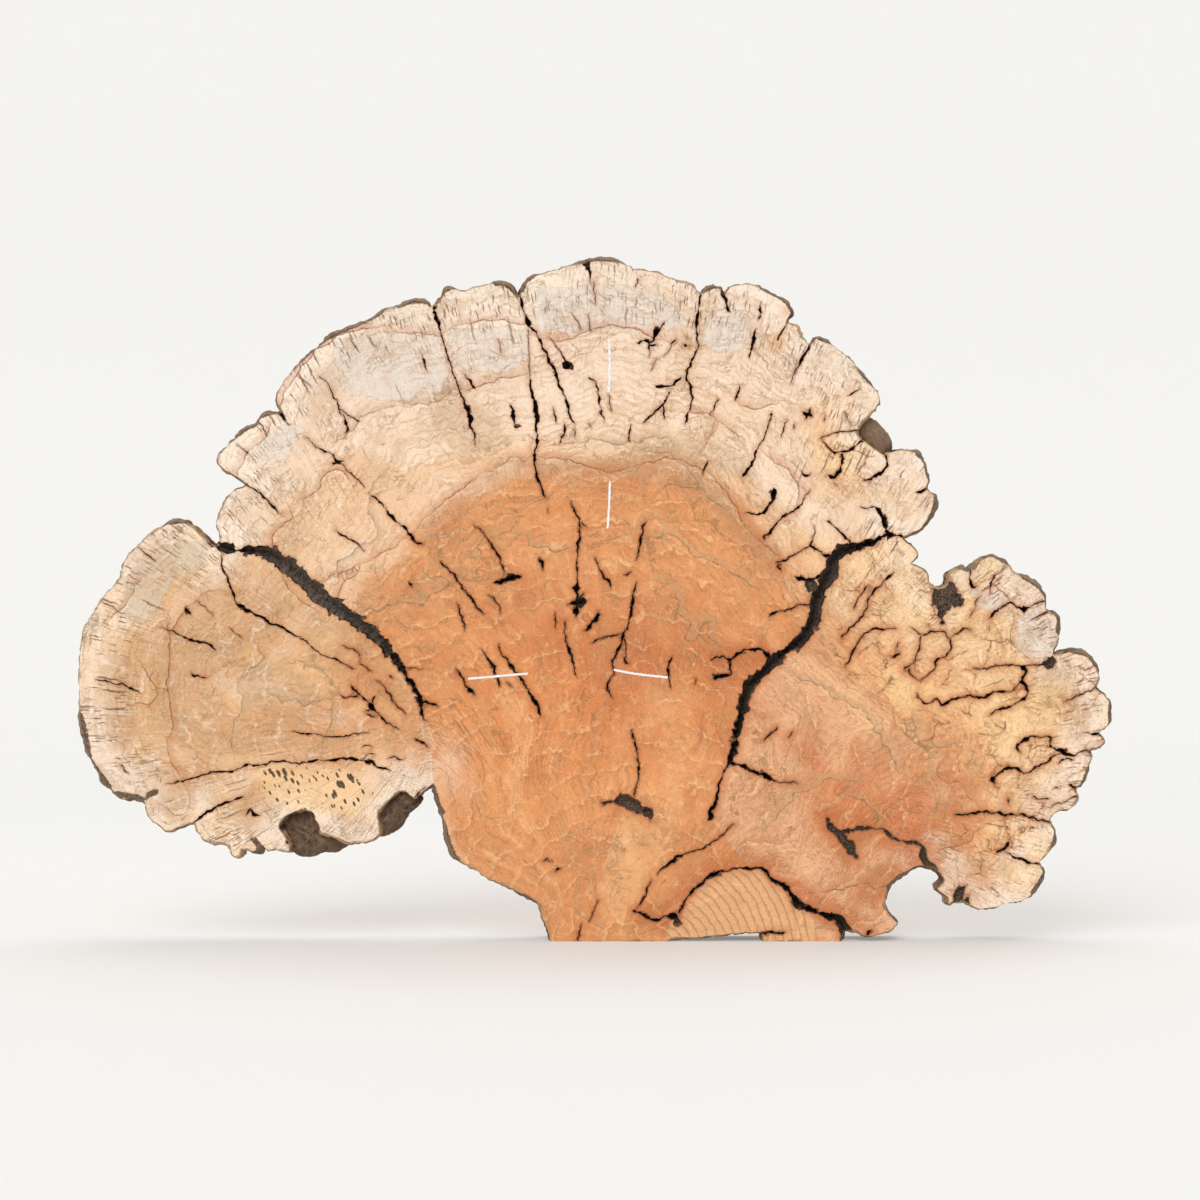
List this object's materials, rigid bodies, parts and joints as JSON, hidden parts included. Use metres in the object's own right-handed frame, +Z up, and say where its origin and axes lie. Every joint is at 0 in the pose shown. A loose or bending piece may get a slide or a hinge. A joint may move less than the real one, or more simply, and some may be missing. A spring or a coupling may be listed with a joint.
{
  "type": "wood slice",
  "caption": "A cross slice of a lobed old trunk with its live bark edge and drying cracks, standing on its sawn foot as a slab for a table top or a wall piece",
  "frame": {"origin": "middle of the bounding box on the surface that the sawn foot stands on", "axes": "+X along the slice's width, to the right as its front face is seen, +Y through its thickness from the front face to the back, +Z up"},
  "size_m": [1.601, 0.0762, 1.0597],
  "materials": {
    "wood": "rough sawn end grain, dry and unsealed, with weathered bark along its edge"
  },
  "bodies": {
    "root": {"wood_slice": "wood"}
  },
  "joints": []
}
